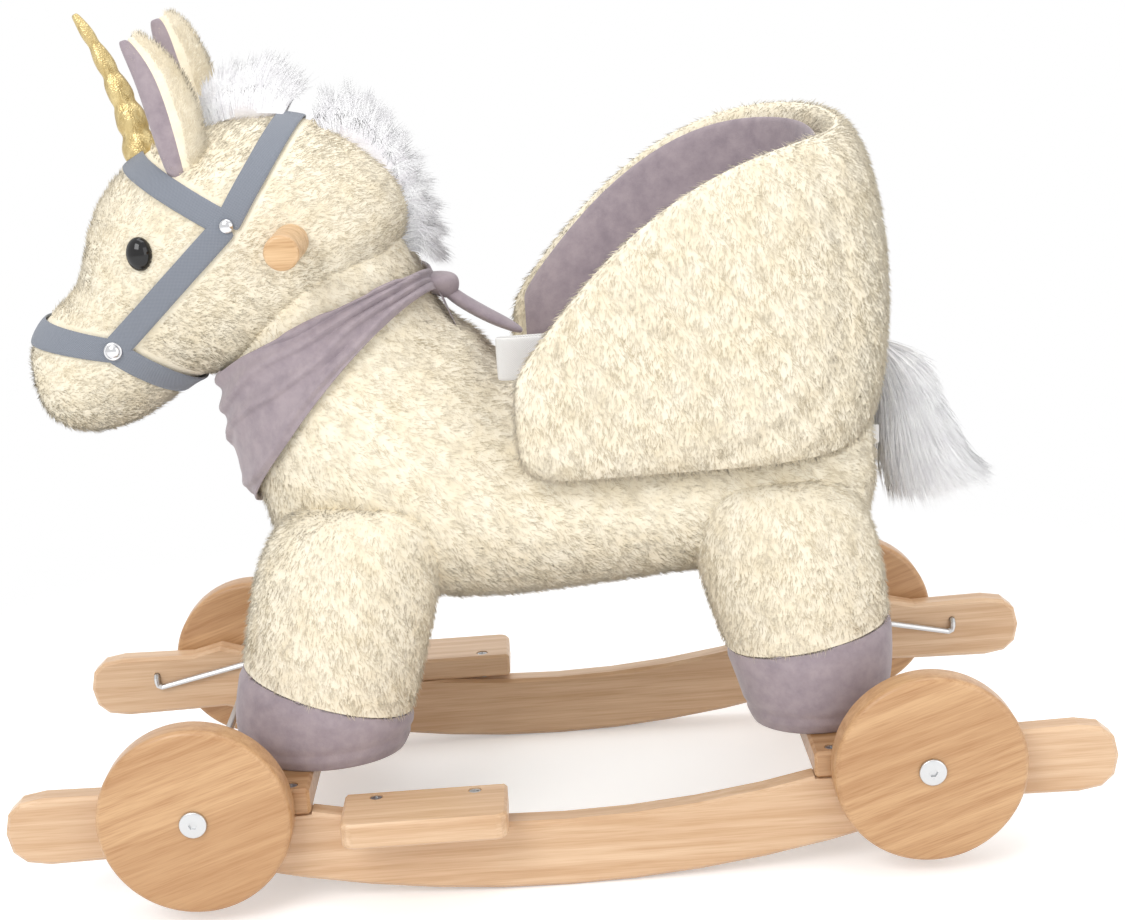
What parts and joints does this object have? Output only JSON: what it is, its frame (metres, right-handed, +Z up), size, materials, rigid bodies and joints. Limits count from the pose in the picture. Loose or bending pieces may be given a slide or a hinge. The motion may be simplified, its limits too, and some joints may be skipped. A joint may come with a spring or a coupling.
{
  "type": "rocking unicorn with wheels",
  "caption": "Plush ride-on unicorn on a bowed wooden rocker base, with a padded bucket seat, a handle bar through its head and wheels at the runners' sides.",
  "frame": {"origin": "on the floor, below the middle of the runners", "axes": "+X towards the tail, so the head faces -X; +Y towards the toy's right side; +Z up"},
  "size_m": [0.72, 0.352, 0.5733],
  "materials": {
    "runner_wood": "clear satin lacquer on pale beech or birch",
    "wheel_wood": "clear satin lacquer on glued-up boards",
    "frame_wood": "bare softwood, hidden",
    "handle_wood": "clear satin lacquer",
    "zinc_steel": "bright zinc plate",
    "cream_plush": "short pile plush over stuffing",
    "lilac_velvet": "short velvet",
    "white_fur": "long pile artificial fur",
    "gold_fabric": "metallic gold cloth over stuffing",
    "grey_webbing": "woven webbing",
    "white_webbing": "woven webbing",
    "black_eye": "polished",
    "chrome_rivet": "polished"
  },
  "bodies": {
    "toy": {"runner_left": "runner_wood", "runner_right": "runner_wood", "footrest_left": "runner_wood", "footrest_right": "runner_wood", "crossbar_front": "runner_wood", "crossbar_rear": "runner_wood", "axle_front": "zinc_steel", "axle_rear": "zinc_steel", "axle_cap_nut_front": "zinc_steel", "axle_cap_nut_rear": "zinc_steel", "axle_stay_front_left": "zinc_steel", "axle_stay_front_right": "zinc_steel", "axle_stay_rear_left": "zinc_steel", "axle_stay_rear_right": "zinc_steel", "crossbar_screw_front_left": "zinc_steel", "crossbar_screw_front_right": "zinc_steel", "crossbar_screw_rear_left": "zinc_steel", "crossbar_screw_rear_right": "zinc_steel", "footrest_screw_front_left": "zinc_steel", "footrest_screw_front_right": "zinc_steel", "footrest_screw_rear_left": "zinc_steel", "footrest_screw_rear_right": "zinc_steel", "leg_post_front_left": "frame_wood", "leg_post_front_right": "frame_wood", "leg_post_rear_left": "frame_wood", "leg_post_rear_right": "frame_wood", "seat_board": "frame_wood", "neck_post": "frame_wood", "handle_bar": "handle_wood", "body": "cream_plush", "head": "cream_plush", "ear_left": "cream_plush", "ear_right": "cream_plush", "leg_front_left": "cream_plush", "leg_front_right": "cream_plush", "leg_rear_left": "cream_plush", "leg_rear_right": "cream_plush", "seat_shell": "cream_plush", "hoof_front_left": "lilac_velvet", "hoof_front_right": "lilac_velvet", "hoof_rear_left": "lilac_velvet", "hoof_rear_right": "lilac_velvet", "scarf": "lilac_velvet", "seat_lining": "lilac_velvet", "seat_cushion": "lilac_velvet", "forelock": "white_fur", "mane": "white_fur", "tail": "white_fur", "horn": "gold_fabric", "bridle": "grey_webbing", "lap_strap": "white_webbing", "eye_left": "black_eye", "eye_right": "black_eye", "bridle_rivet_left": "chrome_rivet", "bridle_rivet_right": "chrome_rivet"},
    "wheel_front_left": {"wheel_front_left": "wheel_wood"},
    "wheel_front_right": {"wheel_front_right": "wheel_wood"},
    "wheel_rear_left": {"wheel_rear_left": "wheel_wood"},
    "wheel_rear_right": {"wheel_rear_right": "wheel_wood"}
  },
  "joints": [
    {"name": "wheel_spin_front_left", "type": "hinge", "parent": "toy", "child": "wheel_front_left", "pos_m": [-0.2343, -0.1545, 0.072], "axis": [0, 1, 0], "continuous": true},
    {"name": "wheel_spin_front_right", "type": "hinge", "parent": "toy", "child": "wheel_front_right", "pos_m": [-0.2343, 0.1545, 0.072], "axis": [0, 1, 0], "continuous": true},
    {"name": "wheel_spin_rear_left", "type": "hinge", "parent": "toy", "child": "wheel_rear_left", "pos_m": [0.2343, -0.1545, 0.072], "axis": [0, 1, 0], "continuous": true},
    {"name": "wheel_spin_rear_right", "type": "hinge", "parent": "toy", "child": "wheel_rear_right", "pos_m": [0.2343, 0.1545, 0.072], "axis": [0, 1, 0], "continuous": true}
  ]
}
